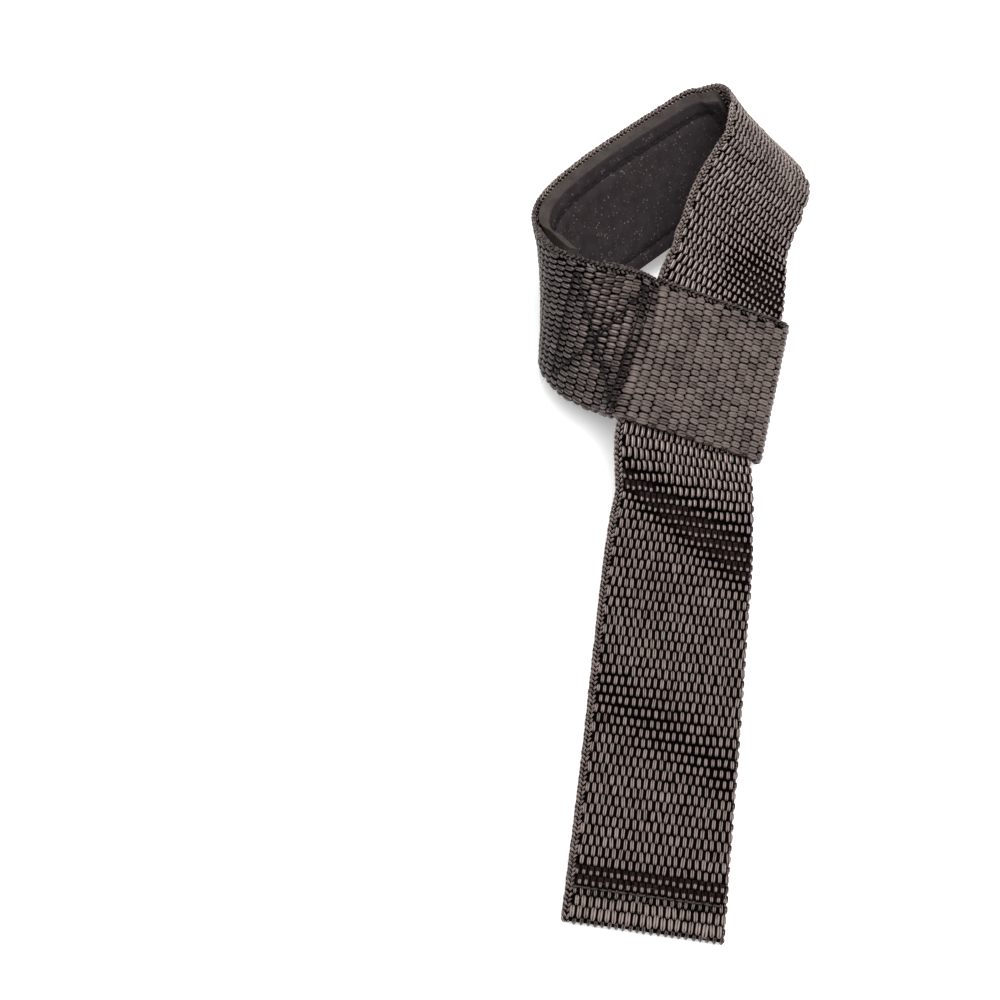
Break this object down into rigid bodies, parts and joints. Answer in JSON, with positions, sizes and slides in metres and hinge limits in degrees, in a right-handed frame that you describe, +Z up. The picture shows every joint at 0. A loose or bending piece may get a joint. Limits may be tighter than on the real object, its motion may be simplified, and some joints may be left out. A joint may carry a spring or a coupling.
{
  "type": "weightlifting strap",
  "caption": "Padded lasso lifting strap lying on a table: the webbing tail runs through its own sewn eye into a wrist loop lined with a foam pad.",
  "frame": {"origin": "middle of the bounding box, on the table the strap lies on", "axes": "+Z up from the table, -Y along the tail toward its hemmed end, +Y toward the wrist loop, +X toward the fold of the eye"},
  "size_m": [0.0766, 0.2188, 0.0427],
  "materials": {
    "webbing": "coarse woven polyester, slight sheen",
    "foam": "matt cut neoprene",
    "lining": "matt fine knit"
  },
  "bodies": {
    "root": {"webbing_strap": "webbing", "foam_pad": "foam", "pad_lining": "lining"}
  },
  "joints": []
}
